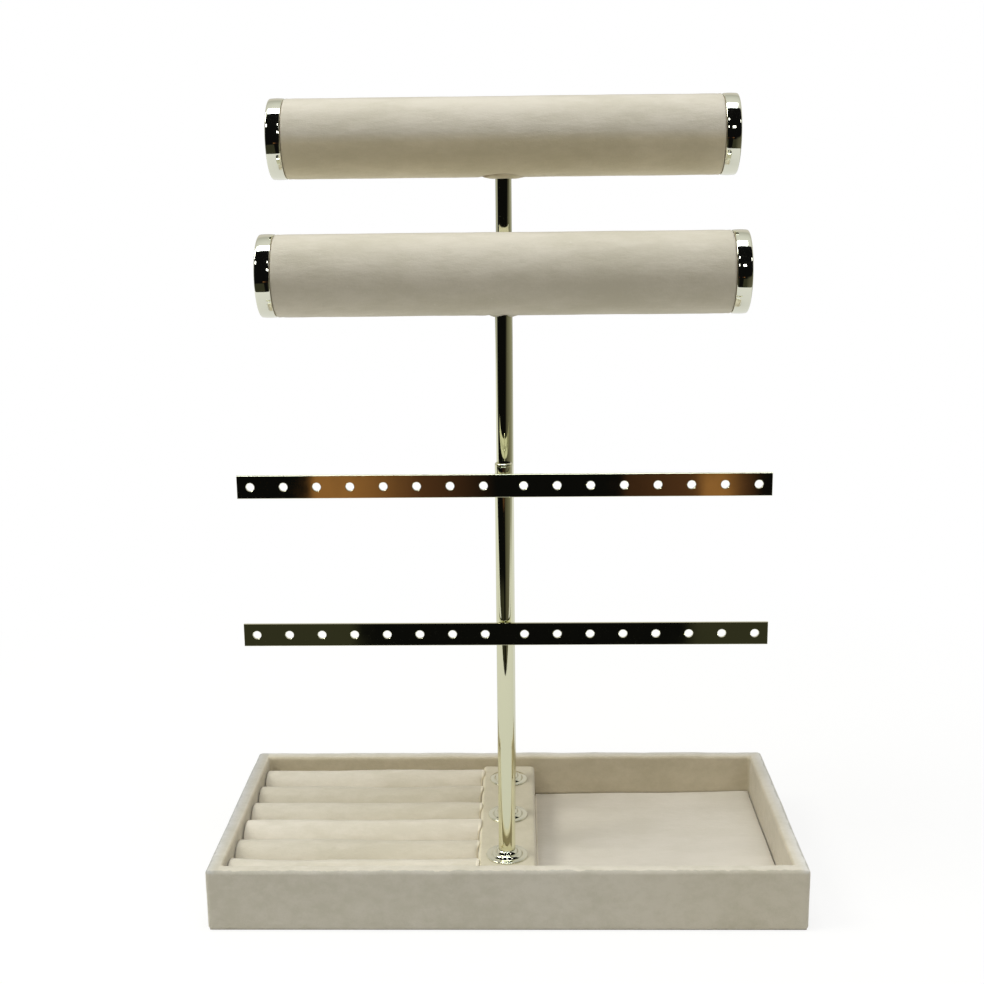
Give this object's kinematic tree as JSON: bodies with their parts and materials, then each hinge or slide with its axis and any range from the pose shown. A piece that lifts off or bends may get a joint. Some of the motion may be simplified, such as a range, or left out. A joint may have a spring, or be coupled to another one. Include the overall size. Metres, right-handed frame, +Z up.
{
  "type": "jewellery stand",
  "caption": "Velvet tray with padded ring rolls and an open compartment, plated posts, velvet bracelet rolls and pierced earring bars.",
  "frame": {"origin": "middle of the underside, where the stand rests", "axes": "+X to the right along the tray, +Y from front to back, +Z up"},
  "size_m": [0.28, 0.14, 0.382],
  "materials": {
    "velvet": "short cream velvet",
    "padded_velvet": "cream velvet over foam",
    "felt": "thin felt",
    "card": "grey board",
    "board": "plain fibreboard",
    "hub_wood": "turned softwood",
    "plated_plastic": "pale gold mirror plating",
    "zinc_steel": "zinc plated",
    "plated_steel": "pale gold mirror plating"
  },
  "bodies": {
    "tray": {"compartment_pad": "velvet", "post_block": "board", "post_block_velvet": "velvet", "tray_back_wall": "board", "tray_base_board": "board", "tray_bottom_liner": "felt", "tray_front_wall": "board", "tray_left_wall": "board", "tray_right_wall": "board", "tray_velvet_wrap": "velvet"},
    "ring_insert": {"ring_insert_card": "card", "ring_roll_1": "padded_velvet", "ring_roll_2": "padded_velvet", "ring_roll_3": "padded_velvet", "ring_roll_4": "padded_velvet", "ring_roll_5": "padded_velvet", "ring_roll_6": "padded_velvet"},
    "rear_upright": {"rear_post": "plated_steel", "rear_post_flange": "plated_steel", "rear_post_foot_insert": "zinc_steel", "rear_post_foot_screw": "zinc_steel", "rear_post_foot_washer": "zinc_steel", "rear_post_top_stud": "zinc_steel", "upper_roll_core": "card", "upper_roll_hub": "hub_wood", "upper_roll_left_cap": "plated_plastic", "upper_roll_right_cap": "plated_plastic", "upper_roll_sleeve": "velvet"},
    "middle_upright": {"lower_roll_core": "card", "lower_roll_hub": "hub_wood", "lower_roll_left_cap": "plated_plastic", "lower_roll_right_cap": "plated_plastic", "lower_roll_sleeve": "velvet", "middle_post": "plated_steel", "middle_post_flange": "plated_steel", "middle_post_foot_insert": "zinc_steel", "middle_post_foot_screw": "zinc_steel", "middle_post_foot_washer": "zinc_steel", "middle_post_top_stud": "zinc_steel"},
    "front_upright": {"front_post": "plated_steel", "front_post_cap": "plated_steel", "front_post_flange": "plated_steel", "front_post_foot_insert": "zinc_steel", "front_post_foot_screw": "zinc_steel", "front_post_foot_washer": "zinc_steel", "lower_bar_nut": "plated_steel", "lower_bar_saddle": "plated_steel", "lower_bar_stud": "zinc_steel", "lower_earring_bar": "plated_steel", "upper_bar_nut": "plated_steel", "upper_bar_saddle": "plated_steel", "upper_bar_stud": "zinc_steel", "upper_earring_bar": "plated_steel"}
  },
  "joints": [
    {"name": "rear_upright_swivel", "type": "hinge", "parent": "tray", "child": "rear_upright", "pos_m": [0, 0.044, 0.0252], "axis": [0, 0, 1], "range_deg": [-90, 90]},
    {"name": "middle_upright_swivel", "type": "hinge", "parent": "tray", "child": "middle_upright", "pos_m": [0, 0, 0.0252], "axis": [0, 0, 1], "range_deg": [-50, 50]},
    {"name": "front_upright_swivel", "type": "hinge", "parent": "tray", "child": "front_upright", "pos_m": [0, -0.044, 0.0252], "axis": [0, 0, 1], "range_deg": [-75, 75]},
    {"name": "ring_insert_lift", "type": "slide", "parent": "tray", "child": "ring_insert", "axis": [0, 0, 1], "range_m": [0, 0.045]}
  ]
}
